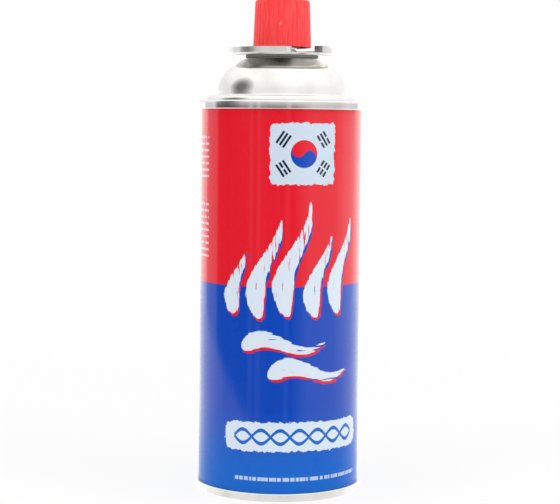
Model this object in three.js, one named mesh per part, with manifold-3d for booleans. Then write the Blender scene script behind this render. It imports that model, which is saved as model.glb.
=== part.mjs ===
// A fuel canister for a portable stove: a sealed tinplate can with double seamed ends, a notched
// locating collar and a valve clinched into its mouth, under a ribbed push-on cap.
// Millimetres, +Z up. The can stands on its lower seam at z = 0 with its axis on Z. Its front
// faces -Y.
import * as THREE from "three";
import { mergeVertices } from "three/addons/utils/BufferGeometryUtils.js";
import Module from "manifold-3d";

const wasm = await Module();
wasm.setup();

// Facets round the axis. Each is a multiple of four, so that every ring reaches +-X and +-Y.
const CAN_FACETS = 56;
const COLLAR_FACETS = 56;
const CUP_FACETS = 32;
const VALVE_FACETS = 20;

// The sealed can: body, seams, shoulder and dome
const BODY_RADIUS = 33;
const CAN_HEIGHT = 158.9; // from the table to the top of the upper seam
const SEAM_HEIGHT = 3.4;
const SEAM_STAND = 1.2; // how far a seam stands out from the body
const SEAM_THICKNESS = 1.8;
const SEAM_ROUND = 0.5;
const COUNTERSINK_DEPTH = 3.8; // of the groove that the seaming chuck fits
const COUNTERSINK_WIDTH = 1.4;
const BASE_DOME_RISE = 8; // of the bottom end, which is domed inwards
const SHOULDER_RISE = 2; // of the flat shoulder above the upper seam
const SHOULDER_ROUND = 1;
const DOME_RADIUS = 26.3;
const DOME_FOOT_ROUND = 0.8;
const DOME_CROWN_WIDTH = 13.1; // half axes of the ellipse that rounds the dome
const DOME_CROWN_HEIGHT = 13.4;
const CONE_ANGLE = 32; // degrees from level, where the dome runs straight up to the mouth

// The print: fields of colour, each between two angles in degrees from the front towards +X and
// two heights. A later field lies over an earlier one.
const PRINT_SPLIT = 85.7; // where the red field meets the blue one
const FLAME_FOOT = 74;
const PRINT_FIELDS = [
  { colour: "blue", from: -180, to: 180, foot: 0, top: PRINT_SPLIT },
  { colour: "red", from: -180, to: 180, foot: PRINT_SPLIT, top: CAN_HEIGHT },
  // the patch, with the two halves of its disc
  { colour: "pale", from: -8, to: 46, foot: 124.3, top: 150 },
  { colour: "red", from: 11, to: 27, foot: 137.2, top: 142.7 },
  { colour: "blue", from: 11, to: 27, foot: 131.8, top: 137.2 },
  // a row of flames, and two waves under them
  { colour: "pale", from: -40, to: -25, foot: FLAME_FOOT, top: 99 },
  { colour: "pale", from: -20, to: -5, foot: FLAME_FOOT, top: 112 },
  { colour: "pale", from: -1, to: 14, foot: FLAME_FOOT, top: 118 },
  { colour: "pale", from: 18, to: 33, foot: FLAME_FOOT, top: 106 },
  { colour: "pale", from: 38, to: 53, foot: FLAME_FOOT, top: 112 },
  { colour: "pale", from: -27, to: 33, foot: 60, top: 64 },
  { colour: "pale", from: -8, to: 52, foot: 49, top: 53 },
  // the plain lower patch
  { colour: "pale", from: -40, to: 59, foot: 19, top: 31.5 },
];

// The mouth: a rolled bead round a one-inch opening
const MOUTH_RADIUS = 12.7;
const BEAD_ROUND = 1.4;
const NECK_DEPTH = 3.2; // of the straight mouth, below the top of the bead
const POCKET_CLEARANCE = 0.4; // round the valve, inside the can

// The cup gasket and the collar that it seals against
const CUP_GASKET = 0.5;
const COLLAR_RADIUS = 22;
const COLLAR_SHEET = 0.5;
const COLLAR_BEND = 1;
const RIM_HEIGHT = 3.2;
const NOTCH_WIDTH = 12;
const NOTCH_TURN = 30; // degrees from the front, towards +X
const HOOK_BEND = 2.5; // the rim's ends turn in beside the notch on this radius
const HOOK_LENGTH = 2;
const HOOK_RISE = 0.7; // the hook on the right stands higher than the rim by this

// The valve cup: flange, plug, clinched bulge, channel and pedestal
const CUP_SHEET = 0.4;
const CUP_CLEARANCE = 0.2; // between the cup's plug and the mouth
const FLANGE_WIDTH = 3.4;
const CLINCH_SWELL = 1.1; // the plug is swollen under the bead to hold it
const CLINCH_HEIGHT = 3;
const CHANNEL_DEPTH = 8.1; // from the flange's top to the channel's floor
const CUP_ROUND = 0.8;
const PEDESTAL_RADIUS = 6;
const PEDESTAL_RISE = 5.5; // above the flange's top
const CRIMP_DEPTH = 0.5; // the pedestal is crimped in under the valve housing's head

// The valve inside the pedestal
const STEM_RADIUS = 2;
const STEM_REACH = 10; // above the pedestal
const STEM_BORE = 0.7;
const STEM_FLANGE = 3.5;
const STEM_FLANGE_THICKNESS = 1.5;
const STEM_SPIGOT = 1.5;
const STEM_CLEARANCE = 0.05;
const PORT_RADIUS = 0.4;
const STEM_GASKET = 1.2;
const HOUSING_WALL = 1.3;
const HOUSING_HEAD = 5;
const HOUSING_CLEARANCE = 0.1;
const SPRING_LENGTH = 9.5;
const SPRING_TURNS = 6;
const WIRE_RADIUS = 0.3;
const TAIL_RADIUS = 2.2;
const TAIL_LENGTH = 7;
const TAIL_BORE = 1;

// The cap
const CAP_FOOT_RADIUS = 11.9;
const CAP_TOP_RADIUS = 11.15;
const CAP_WALL = 1.2;
const CAP_ROOF = 1.3;
const CAP_EDGE_ROUND = 1;
const CAP_ABOVE_RIM = 0.5; // its foot stands clear of the collar's rim by this
const CAP_HEADROOM = 5.1; // between the stem's tip and the roof
const RIB_COUNT = 36;
const RIB_FACETS = 3;
const RIB_DEPTH = 0.28;
const SLEEVE_WALL = 1.2;
const SLEEVE_CLEARANCE = 0.1;
const SLEEVE_LEDGE = 1.4; // the ledge inside the sleeve that lands on the pedestal

// Radii and levels that follow from the sizes above
const SEAM_RADIUS = BODY_RADIUS + SEAM_STAND;
const CHUCK_RADIUS = SEAM_RADIUS - SEAM_THICKNESS;
const SHOULDER_RADIUS = CHUCK_RADIUS - COUNTERSINK_WIDTH;
const SHOULDER_LEVEL = CAN_HEIGHT + SHOULDER_RISE;
const COUNTERSINK_FLOOR = CAN_HEIGHT - COUNTERSINK_DEPTH;
const DOME_FOOT_LEVEL = SHOULDER_LEVEL + DOME_FOOT_ROUND;
const CONE_LEAN = THREE.MathUtils.degToRad(CONE_ANGLE);
const CONE_SLOPE = Math.tan(CONE_LEAN);
const CROWN_END = Math.atan2(DOME_CROWN_HEIGHT, DOME_CROWN_WIDTH * CONE_SLOPE);
const CROWN_END_RADIUS = DOME_RADIUS - DOME_CROWN_WIDTH * (1 - Math.cos(CROWN_END));
const CROWN_END_LEVEL = DOME_FOOT_LEVEL + DOME_CROWN_HEIGHT * Math.sin(CROWN_END);
const BEAD_CENTRE_RADIUS = MOUTH_RADIUS + BEAD_ROUND;
const BEAD_JOIN_RADIUS = BEAD_CENTRE_RADIUS + BEAD_ROUND * Math.sin(CONE_LEAN);
const BEAD_JOIN_LEVEL = CROWN_END_LEVEL + (CROWN_END_RADIUS - BEAD_JOIN_RADIUS) * CONE_SLOPE;
const BEAD_CENTRE_LEVEL = BEAD_JOIN_LEVEL - BEAD_ROUND * Math.cos(CONE_LEAN);
const BEAD_TOP = BEAD_CENTRE_LEVEL + BEAD_ROUND;
const COLLAR_UNDERSIDE = BEAD_TOP + CUP_GASKET;
const RIM_TOP = COLLAR_UNDERSIDE + RIM_HEIGHT;
const FLANGE_UNDERSIDE = COLLAR_UNDERSIDE + COLLAR_SHEET;
const FLANGE_TOP = FLANGE_UNDERSIDE + CUP_SHEET;
const PLUG_RADIUS = MOUTH_RADIUS - CUP_CLEARANCE;
const CHANNEL_FLOOR = FLANGE_TOP - CHANNEL_DEPTH;
const CUP_BOTTOM = CHANNEL_FLOOR - CUP_SHEET;
const CLINCH_TOP = BEAD_TOP - NECK_DEPTH;
const PEDESTAL_TOP = FLANGE_TOP + PEDESTAL_RISE;
const PEDESTAL_BORE = PEDESTAL_RADIUS - CUP_SHEET;
const STEM_GASKET_TOP = PEDESTAL_TOP - CUP_SHEET;
const HOUSING_TOP = STEM_GASKET_TOP - STEM_GASKET;
const HOUSING_RADIUS = PEDESTAL_BORE - HOUSING_CLEARANCE;
const HEAD_FOOT = HOUSING_TOP - HOUSING_HEAD;
const CHAMBER_RADIUS = HOUSING_RADIUS - HOUSING_WALL;
const SPRING_TOP = HOUSING_TOP - STEM_FLANGE_THICKNESS;
const CHAMBER_FLOOR = SPRING_TOP - SPRING_LENGTH;
const HOUSING_BOTTOM = CHAMBER_FLOOR - HOUSING_WALL;
const TAIL_END = HOUSING_BOTTOM - TAIL_LENGTH;
const POCKET_FLOOR = TAIL_END - POCKET_CLEARANCE;
const STEM_TOP = PEDESTAL_TOP + STEM_REACH;
const CAP_FOOT = RIM_TOP + CAP_ABOVE_RIM;
const CAP_ROOF_UNDERSIDE = STEM_TOP + CAP_HEADROOM;
const CAP_TOP = CAP_ROOF_UNDERSIDE + CAP_ROOF;
const SLEEVE_BORE = PEDESTAL_RADIUS + SLEEVE_CLEARANCE;

const QUARTER = Math.PI / 2;
const NOTCH_DIRECTION = THREE.MathUtils.degToRad(NOTCH_TURN) - QUARTER;

// Materials

const material = (color, metalness, roughness) =>
  new THREE.MeshStandardMaterial({ color, metalness, roughness });
const tinplate = () => material(0xc9c8c3, 1, 0.22);
const redPrint = () => material(0xe3262f, 0.1, 0.3);
const bluePrint = () => material(0x0a4cc0, 0.1, 0.3);
const palePrint = () => material(0xd6e2ec, 0.1, 0.3);
const redPlastic = () => material(0xf23c3c, 0, 0.42);
const whitePlastic = () => material(0xe9e8e2, 0, 0.45);
const rubber = () => material(0x1d1d1d, 0, 0.8);
const springSteel = () => material(0x9a9c9f, 1, 0.35);

// Building operations

// A section outline in radius and height, made of straight runs and round stretches.
class Outline {
  constructor() {
    this.points = [];
  }
  to(radius, level) {
    this.points.push(new THREE.Vector2(radius, level));
    return this;
  }
  // Follows an arc or a quarter ellipse about a centre. Angles count from the outward direction.
  round(radius, level, size, from, to, steps, height = size) {
    const arc = new THREE.EllipseCurve(radius, level, size, height, from, to, to < from);
    this.points.push(...arc.getPoints(steps));
    return this;
  }
  closed() {
    this.points.push(this.points[0].clone());
    return this.points;
  }
}

// Revolves an outline about Z.
function turned(points, facets) {
  return new THREE.LatheGeometry(points, facets).rotateX(QUARTER);
}

// A round bar between two levels, for cutting and joining.
function bar(radius, from, to, facets) {
  const length = to - from;
  return new THREE.CylinderGeometry(radius, radius, length, facets)
    .rotateX(QUARTER)
    .translate(0, 0, from + length / 2);
}

// A plan outline raised from one level to another.
function raised(shape, from, to, curveSegments = 4) {
  const options = { depth: to - from, bevelEnabled: false, curveSegments };
  return new THREE.ExtrudeGeometry(shape, options).translate(0, 0, from);
}

function solid(geometry) {
  const bare = geometry.clone();
  bare.deleteAttribute("normal");
  bare.deleteAttribute("uv");
  const merged = mergeVertices(bare, 1e-4);
  return new wasm.Manifold(
    new wasm.Mesh({
      numProp: 3,
      vertProperties: merged.getAttribute("position").array,
      triVerts: new Uint32Array(merged.index.array),
    }),
  );
}

function geometryOf(body) {
  const mesh = body.getMesh();
  const geometry = new THREE.BufferGeometry();
  geometry.setAttribute("position", new THREE.BufferAttribute(mesh.vertProperties, 3));
  geometry.setIndex(new THREE.BufferAttribute(mesh.triVerts, 1));
  geometry.computeVertexNormals();
  return geometry;
}

const group = new THREE.Group();

function add(name, geometry, look) {
  const mesh = new THREE.Mesh(geometry, look);
  mesh.name = name;
  group.add(mesh);
}

// The can

const CAN_COLOURS = ["tinplate", "red", "blue", "pale"];

// Sorts the faces of the can by the print's fields, so that each colour has its own material.
function coloured(geometry) {
  const index = geometry.index.array;
  const position = geometry.getAttribute("position");
  const groups = CAN_COLOURS.map(() => []);
  for (let i = 0; i < index.length; i += 3) {
    const corners = [index[i], index[i + 1], index[i + 2]];
    const points = corners.map((corner) => new THREE.Vector3().fromBufferAttribute(position, corner));
    groups[CAN_COLOURS.indexOf(colourOf(points))].push(...corners);
  }
  geometry.setIndex(groups.flat());
  let start = 0;
  groups.forEach((group, look) => {
    geometry.addGroup(start, group.length, look);
    start += group.length;
  });
  return geometry;
}

function colourOf(points) {
  const onBody = points.every(({ x, y }) => Math.abs(Math.hypot(x, y) - BODY_RADIUS) < 1e-3);
  if (!onBody) return "tinplate";
  const middle = points
    .reduce((sum, point) => sum.add(point), new THREE.Vector3())
    .divideScalar(points.length);
  const angle = THREE.MathUtils.radToDeg(Math.atan2(middle.x, -middle.y));
  const covers = ({ from, to, foot, top }) =>
    angle > from && angle < to && middle.z > foot && middle.z < top;
  return PRINT_FIELDS.findLast(covers).colour;
}

// The levels between which the body has one field above another.
function printLevels() {
  const levels = PRINT_FIELDS.flatMap(({ foot, top }) => [foot, top]);
  const onBody = (level) => level > SEAM_HEIGHT && level < CAN_HEIGHT - SEAM_HEIGHT;
  return [...new Set(levels.filter(onBody))].sort((low, high) => low - high);
}

function makeCan() {
  const baseRadius = CHUCK_RADIUS - SEAM_ROUND;
  const baseSphere = (baseRadius ** 2 + BASE_DOME_RISE ** 2) / (2 * BASE_DOME_RISE);
  const baseCrown = COUNTERSINK_DEPTH + BASE_DOME_RISE;
  const baseHalfAngle = Math.asin(baseRadius / baseSphere);
  const seamLip = SEAM_ROUND / 2;
  const plugPocket = PLUG_RADIUS + CLINCH_SWELL + POCKET_CLEARANCE;
  const housingPocket = HOUSING_RADIUS + POCKET_CLEARANCE;
  const outline = new Outline()
    // the bottom end, domed inwards
    .round(0, baseCrown - baseSphere, baseSphere, QUARTER, QUARTER - baseHalfAngle, 4)
    .to(CHUCK_RADIUS, COUNTERSINK_DEPTH - SEAM_ROUND)
    // the lower seam, with the flat that the can stands on
    .round(CHUCK_RADIUS + SEAM_ROUND, SEAM_ROUND, SEAM_ROUND, 2 * QUARTER, 3 * QUARTER, 1)
    .round(SEAM_RADIUS - SEAM_ROUND, SEAM_ROUND, SEAM_ROUND, -QUARTER, 0, 2)
    .to(SEAM_RADIUS, SEAM_HEIGHT - seamLip)
    .to(SEAM_RADIUS - seamLip, SEAM_HEIGHT)
    .to(BODY_RADIUS, SEAM_HEIGHT);
  // the printed body
  printLevels().forEach((level) => outline.to(BODY_RADIUS, level));
  outline
    .to(BODY_RADIUS, CAN_HEIGHT - SEAM_HEIGHT)
    // the upper seam and its countersink
    .to(SEAM_RADIUS - seamLip, CAN_HEIGHT - SEAM_HEIGHT)
    .to(SEAM_RADIUS, CAN_HEIGHT - SEAM_HEIGHT + seamLip)
    .round(SEAM_RADIUS - SEAM_ROUND, CAN_HEIGHT - SEAM_ROUND, SEAM_ROUND, 0, QUARTER, 2)
    .round(CHUCK_RADIUS + SEAM_ROUND, CAN_HEIGHT - SEAM_ROUND, SEAM_ROUND, QUARTER, 2 * QUARTER, 1)
    .to(CHUCK_RADIUS, COUNTERSINK_FLOOR)
    .to(SHOULDER_RADIUS, COUNTERSINK_FLOOR)
    // the shoulder and the foot of the dome
    .round(SHOULDER_RADIUS - SHOULDER_ROUND, SHOULDER_LEVEL - SHOULDER_ROUND, SHOULDER_ROUND, 0, QUARTER, 2)
    .round(DOME_RADIUS + DOME_FOOT_ROUND, DOME_FOOT_LEVEL, DOME_FOOT_ROUND, -QUARTER, -2 * QUARTER, 2)
    // the crown, the cone and the bead round the mouth
    .round(DOME_RADIUS - DOME_CROWN_WIDTH, DOME_FOOT_LEVEL, DOME_CROWN_WIDTH, 0, CROWN_END, 6, DOME_CROWN_HEIGHT)
    .round(BEAD_CENTRE_RADIUS, BEAD_CENTRE_LEVEL, BEAD_ROUND, QUARTER - CONE_LEAN, 2 * QUARTER, 4)
    // the mouth and the pocket that the valve hangs in
    .to(MOUTH_RADIUS, CLINCH_TOP)
    .to(plugPocket, CLINCH_TOP - CLINCH_SWELL)
    .to(plugPocket, CUP_BOTTOM - POCKET_CLEARANCE)
    .to(housingPocket, CUP_BOTTOM - POCKET_CLEARANCE)
    .to(housingPocket, POCKET_FLOOR)
    .to(0, POCKET_FLOOR);
  return coloured(turned(outline.points, CAN_FACETS));
}

// The collar

// One end of the rim, turned in beside the notch: side is 1 towards +X and -1 towards -X.
function makeHook(side) {
  const half = COLLAR_SHEET / 2;
  const middle = COLLAR_RADIUS - half;
  const lap = COLLAR_SHEET;
  const centreRadius = middle - HOOK_BEND;
  const turn = Math.asin((NOTCH_WIDTH / 2 + half + HOOK_BEND) / centreRadius);
  const outer = HOOK_BEND + half;
  const inner = HOOK_BEND - half;
  const plan = new THREE.Shape()
    .moveTo(outer, -lap)
    .lineTo(outer, 0)
    .absarc(0, 0, outer, 0, QUARTER, false)
    .lineTo(-HOOK_LENGTH, outer)
    .lineTo(-HOOK_LENGTH, inner)
    .lineTo(0, inner)
    .absarc(0, 0, inner, QUARTER, 0, true)
    .lineTo(inner, -lap);
  const top = side > 0 ? RIM_TOP + HOOK_RISE : RIM_TOP;
  const hook = raised(plan, COLLAR_UNDERSIDE + COLLAR_BEND, top);
  if (side > 0) hook.rotateX(2 * QUARTER).translate(0, 0, COLLAR_UNDERSIDE + COLLAR_BEND + top);
  return hook
    .translate(centreRadius, 0, 0)
    .rotateZ(NOTCH_DIRECTION + side * turn);
}

function makeCollar() {
  const inner = COLLAR_RADIUS - COLLAR_SHEET;
  const foot = COLLAR_UNDERSIDE;
  const bendRadius = COLLAR_RADIUS - COLLAR_BEND;
  const profile = new Outline()
    .to(MOUTH_RADIUS, foot)
    .round(bendRadius, foot + COLLAR_BEND, COLLAR_BEND, -QUARTER, 0, 4)
    .to(COLLAR_RADIUS, RIM_TOP)
    .to(inner, RIM_TOP)
    .round(bendRadius, foot + COLLAR_BEND, COLLAR_BEND - COLLAR_SHEET, 0, -QUARTER, 2)
    .to(MOUTH_RADIUS, foot + COLLAR_SHEET)
    .closed();
  const half = COLLAR_SHEET / 2;
  const centreRadius = COLLAR_RADIUS - half - HOOK_BEND;
  const turn = Math.asin((NOTCH_WIDTH / 2 + half + HOOK_BEND) / centreRadius);
  const reach = 2 * COLLAR_RADIUS;
  const sector = new THREE.Shape()
    .moveTo(0, 0)
    .lineTo(reach * Math.cos(turn), -reach * Math.sin(turn))
    .lineTo(reach * Math.cos(turn), reach * Math.sin(turn));
  const cut = raised(sector, foot + COLLAR_BEND, RIM_TOP + COLLAR_SHEET).rotateZ(NOTCH_DIRECTION);
  const keep = bar(COLLAR_RADIUS - COLLAR_BEND, foot, RIM_TOP, COLLAR_FACETS);
  const gap = solid(cut).subtract(solid(keep));
  return geometryOf(
    solid(turned(profile, COLLAR_FACETS))
      .subtract(gap)
      .add(solid(makeHook(1)))
      .add(solid(makeHook(-1))),
  );
}

// The valve cup

function makeValveCup() {
  const wall = CUP_SHEET;
  const round = CUP_ROUND;
  const inside = PLUG_RADIUS - wall;
  const flangeRadius = PLUG_RADIUS + FLANGE_WIDTH;
  const clinchMiddle = CLINCH_TOP - CLINCH_HEIGHT / 2;
  const clinchFoot = CLINCH_TOP - CLINCH_HEIGHT;
  const crimpTop = HEAD_FOOT;
  const crimpStep = CRIMP_DEPTH + wall;
  const bendLevel = CHANNEL_FLOOR + round;
  const profile = new Outline()
    // the underside, from the stem's hole out to the flange's edge
    .to(STEM_RADIUS + wall, STEM_GASKET_TOP)
    .to(PEDESTAL_BORE, STEM_GASKET_TOP)
    .to(PEDESTAL_BORE, crimpTop)
    .to(PEDESTAL_BORE - CRIMP_DEPTH, crimpTop - crimpStep)
    .to(PEDESTAL_BORE, crimpTop - 2 * crimpStep)
    .round(PEDESTAL_RADIUS + round, bendLevel, round + wall, 2 * QUARTER, 3 * QUARTER, 2)
    .round(inside - round, bendLevel, round + wall, -QUARTER, 0, 2)
    .to(PLUG_RADIUS, clinchFoot)
    .to(PLUG_RADIUS + CLINCH_SWELL, clinchMiddle)
    .to(PLUG_RADIUS, CLINCH_TOP)
    .to(PLUG_RADIUS, FLANGE_UNDERSIDE)
    .to(flangeRadius, FLANGE_UNDERSIDE)
    // and the upper side, back in to the stem's hole
    .to(flangeRadius, FLANGE_TOP)
    .round(PLUG_RADIUS, FLANGE_UNDERSIDE, wall, QUARTER, 2 * QUARTER, 3)
    .to(inside, CLINCH_TOP)
    .to(inside + CLINCH_SWELL, clinchMiddle)
    .to(inside, clinchFoot)
    .round(inside - round, bendLevel, round, 0, -QUARTER, 2)
    .round(PEDESTAL_RADIUS + round, bendLevel, round, 3 * QUARTER, 2 * QUARTER, 2)
    .to(PEDESTAL_RADIUS, crimpTop - 2 * crimpStep)
    .to(PEDESTAL_RADIUS - CRIMP_DEPTH, crimpTop - crimpStep)
    .to(PEDESTAL_RADIUS, crimpTop)
    .round(PEDESTAL_BORE, STEM_GASKET_TOP, wall, 0, QUARTER, 2)
    .to(STEM_RADIUS + wall, PEDESTAL_TOP)
    .closed();
  return turned(profile, CUP_FACETS);
}

function makeCupGasket() {
  const profile = new Outline()
    .to(MOUTH_RADIUS, BEAD_TOP)
    .to(BEAD_JOIN_RADIUS, BEAD_TOP)
    .to(BEAD_JOIN_RADIUS, COLLAR_UNDERSIDE)
    .to(MOUTH_RADIUS, COLLAR_UNDERSIDE)
    .closed();
  return turned(profile, COLLAR_FACETS);
}

// The valve

function makeStemGasket() {
  const profile = new Outline()
    .to(STEM_RADIUS + STEM_CLEARANCE, HOUSING_TOP)
    .to(HOUSING_RADIUS, HOUSING_TOP)
    .to(HOUSING_RADIUS, STEM_GASKET_TOP)
    .to(STEM_RADIUS + STEM_CLEARANCE, STEM_GASKET_TOP)
    .closed();
  return turned(profile, VALVE_FACETS);
}

function makeValveStem() {
  const portLevel = HOUSING_TOP + STEM_GASKET / 2;
  const boreFloor = portLevel - PORT_RADIUS;
  const spigot = STEM_FLANGE - 3 * WIRE_RADIUS - STEM_CLEARANCE;
  const tip = STEM_RADIUS - STEM_BORE / 2;
  const profile = new Outline()
    .to(0, SPRING_TOP - STEM_SPIGOT)
    .to(spigot - WIRE_RADIUS, SPRING_TOP - STEM_SPIGOT)
    .to(spigot - WIRE_RADIUS, SPRING_TOP)
    .to(STEM_FLANGE, SPRING_TOP)
    .to(STEM_FLANGE, HOUSING_TOP)
    .to(STEM_RADIUS, HOUSING_TOP)
    .to(STEM_RADIUS, STEM_TOP - STEM_RADIUS)
    .to(tip, STEM_TOP)
    .to(STEM_BORE, STEM_TOP)
    .to(STEM_BORE, boreFloor)
    .to(0, boreFloor);
  const port = new THREE.CylinderGeometry(PORT_RADIUS, PORT_RADIUS, 2 * STEM_FLANGE, 8)
    .rotateZ(QUARTER)
    .translate(0, 0, portLevel);
  return geometryOf(solid(turned(profile.points, VALVE_FACETS)).subtract(solid(port)));
}

class Helix extends THREE.Curve {
  constructor(radius, from, to, turns) {
    super();
    Object.assign(this, { radius, from, to, turns });
  }
  getPoint(share, target = new THREE.Vector3()) {
    const angle = 2 * Math.PI * this.turns * share;
    const level = THREE.MathUtils.lerp(this.from, this.to, share);
    return target.set(this.radius * Math.cos(angle), this.radius * Math.sin(angle), level);
  }
}

function makeSpring() {
  const coilRadius = STEM_FLANGE - WIRE_RADIUS - STEM_CLEARANCE;
  const lift = 1.5 * WIRE_RADIUS; // the wire's cut ends tilt with the helix
  const path = new Helix(coilRadius, CHAMBER_FLOOR + lift, SPRING_TOP - lift, SPRING_TURNS);
  const wire = new THREE.Shape().absarc(0, 0, WIRE_RADIUS, 0, 2 * Math.PI, false);
  const options = { extrudePath: path, steps: 11 * SPRING_TURNS, curveSegments: 3 };
  return new THREE.ExtrudeGeometry(wire, { ...options, bevelEnabled: false });
}

function makeHousing() {
  const waist = PEDESTAL_BORE - CRIMP_DEPTH - HOUSING_CLEARANCE;
  const profile = new Outline()
    .to(TAIL_BORE, TAIL_END)
    .to(TAIL_RADIUS, TAIL_END)
    .to(TAIL_RADIUS, HOUSING_BOTTOM)
    .to(waist - HOUSING_WALL / 2, HOUSING_BOTTOM)
    .to(waist, HOUSING_BOTTOM + HOUSING_WALL)
    .to(waist, HEAD_FOOT)
    .to(HOUSING_RADIUS, HEAD_FOOT)
    .to(HOUSING_RADIUS, HOUSING_TOP)
    .to(CHAMBER_RADIUS, HOUSING_TOP)
    .to(CHAMBER_RADIUS, CHAMBER_FLOOR)
    .to(TAIL_BORE, CHAMBER_FLOOR)
    .closed();
  return turned(profile, VALVE_FACETS);
}

// The cap

// Shapes the ribs: broad rounded lobes with narrow valleys, fading out over the rounded edge.
function ribbed(geometry) {
  const position = geometry.getAttribute("position");
  for (let i = 0; i < position.count; i++) {
    const x = position.getX(i);
    const y = position.getY(i);
    const radius = Math.hypot(x, y);
    const share = (radius - CAP_TOP_RADIUS) / CAP_EDGE_ROUND + 1;
    const depth = RIB_DEPTH * THREE.MathUtils.clamp(share, 0, 1);
    const lobe = Math.abs(Math.sin((RIB_COUNT * Math.atan2(y, x)) / 2));
    const shrink = 1 - (depth * (1 - lobe)) / Math.max(radius, CAP_EDGE_ROUND);
    position.setXY(i, x * shrink, y * shrink);
  }
  return geometry;
}

function makeCap() {
  const steps = RIB_FACETS * RIB_COUNT;
  const taper = (CAP_FOOT_RADIUS - CAP_TOP_RADIUS) / (CAP_TOP - CAP_FOOT);
  const wallAt = (level) => CAP_FOOT_RADIUS - taper * (level - CAP_FOOT);
  const outside = new Outline()
    .to(0, CAP_FOOT)
    .to(CAP_FOOT_RADIUS, CAP_FOOT)
    .round(CAP_TOP_RADIUS - CAP_EDGE_ROUND, CAP_TOP - CAP_EDGE_ROUND, CAP_EDGE_ROUND, 0, QUARTER, 3)
    .to(0, CAP_TOP);
  const sleeve = SLEEVE_BORE + SLEEVE_WALL;
  const below = CAP_FOOT - CAP_WALL;
  const hollow = new Outline()
    .to(sleeve, below)
    .to(wallAt(below) - CAP_WALL, below)
    .to(wallAt(CAP_ROOF_UNDERSIDE) - CAP_WALL, CAP_ROOF_UNDERSIDE)
    .to(sleeve, CAP_ROOF_UNDERSIDE)
    .closed();
  const bore = new Outline()
    .to(0, below)
    .to(SLEEVE_BORE, below)
    .to(SLEEVE_BORE, PEDESTAL_TOP)
    .to(SLEEVE_BORE - SLEEVE_LEDGE, PEDESTAL_TOP)
    .to(SLEEVE_BORE - SLEEVE_LEDGE, CAP_ROOF_UNDERSIDE)
    .to(0, CAP_ROOF_UNDERSIDE);
  return geometryOf(
    solid(ribbed(turned(outside.points, steps)))
      .subtract(solid(turned(hollow, CUP_FACETS)))
      .subtract(solid(turned(bore.points, CUP_FACETS))),
  );
}

add("can", makeCan(), [tinplate(), redPrint(), bluePrint(), palePrint()]);
add("cup_gasket", makeCupGasket(), rubber());
add("collar", makeCollar(), tinplate());
add("valve_cup", makeValveCup(), tinplate());
add("stem_gasket", makeStemGasket(), rubber());
add("valve_housing", makeHousing(), whitePlastic());
add("valve_spring", makeSpring(), springSteel());
add("valve_stem", makeValveStem(), whitePlastic());
add("cap", makeCap(), redPlastic());

export default group;
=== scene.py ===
"""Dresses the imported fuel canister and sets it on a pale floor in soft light.

The canister is a printed tinplate can with seamed ends, a domed top, a notched collar, a
press valve and a ribbed push-on cap. All lengths are in millimetres until a piece is made.
"""

from __future__ import annotations

import logging
import math
from collections.abc import Iterable
from dataclasses import dataclass
from enum import Enum
from functools import reduce

import bmesh
import bpy
from mathutils import Matrix, Vector

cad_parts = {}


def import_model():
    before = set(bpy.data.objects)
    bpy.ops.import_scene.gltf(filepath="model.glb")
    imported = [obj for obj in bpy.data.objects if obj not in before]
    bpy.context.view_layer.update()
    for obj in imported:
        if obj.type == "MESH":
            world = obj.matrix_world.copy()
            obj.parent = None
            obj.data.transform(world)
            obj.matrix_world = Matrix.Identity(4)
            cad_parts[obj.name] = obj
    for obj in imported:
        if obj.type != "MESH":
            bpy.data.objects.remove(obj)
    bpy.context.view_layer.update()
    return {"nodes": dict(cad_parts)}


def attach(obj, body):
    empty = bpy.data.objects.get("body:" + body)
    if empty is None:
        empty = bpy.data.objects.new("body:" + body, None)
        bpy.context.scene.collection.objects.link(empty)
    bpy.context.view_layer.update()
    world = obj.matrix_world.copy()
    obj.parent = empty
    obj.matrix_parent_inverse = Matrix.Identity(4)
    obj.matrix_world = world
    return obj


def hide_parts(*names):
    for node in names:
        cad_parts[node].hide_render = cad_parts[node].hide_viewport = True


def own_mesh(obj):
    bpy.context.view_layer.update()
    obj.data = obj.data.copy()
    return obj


LOG = logging.getLogger("fuel_canister")
MM = 0.001
FULL_TURN = 2 * math.pi
MERGE_DISTANCE = 1e-6
ON_AXIS = 1e-9
BEVEL_SEGMENTS = 2
FLAT_ANGLE = math.radians(0.5)
EDGE_ANGLE = math.radians(40.0)
SMOOTH_DEGREES = 35.0
# The height below which the collar's metal is darkened as painted shade
COLLAR_UNDERSIDE = 177.35

Colour = tuple[float, float, float]
Triple = tuple[float, float, float]
Point = tuple[float, float]


class Slot(Enum):
    """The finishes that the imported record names."""

    PRINT = "printed_tinplate"
    TINPLATE = "bare_tinplate"
    CAP = "cap_plastic"
    VALVE = "valve_plastic"
    RUBBER = "seal_rubber"
    SPRING = "spring_steel"


class Body(Enum):
    """The bodies that pieces ride on."""

    CANISTER = "canister"
    STEM = "stem"
    CAP = "cap"


class Layer(Enum):
    """The planes of the noise that patterns are read from, so that none repeats another."""

    UPRIGHT = 1.0
    FLAT = 2.0
    RIPPLE = 3.0
    FOLDS = 4.0
    TEAR = 5.0
    DASHES = 9.0


# Shader maths


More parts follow.
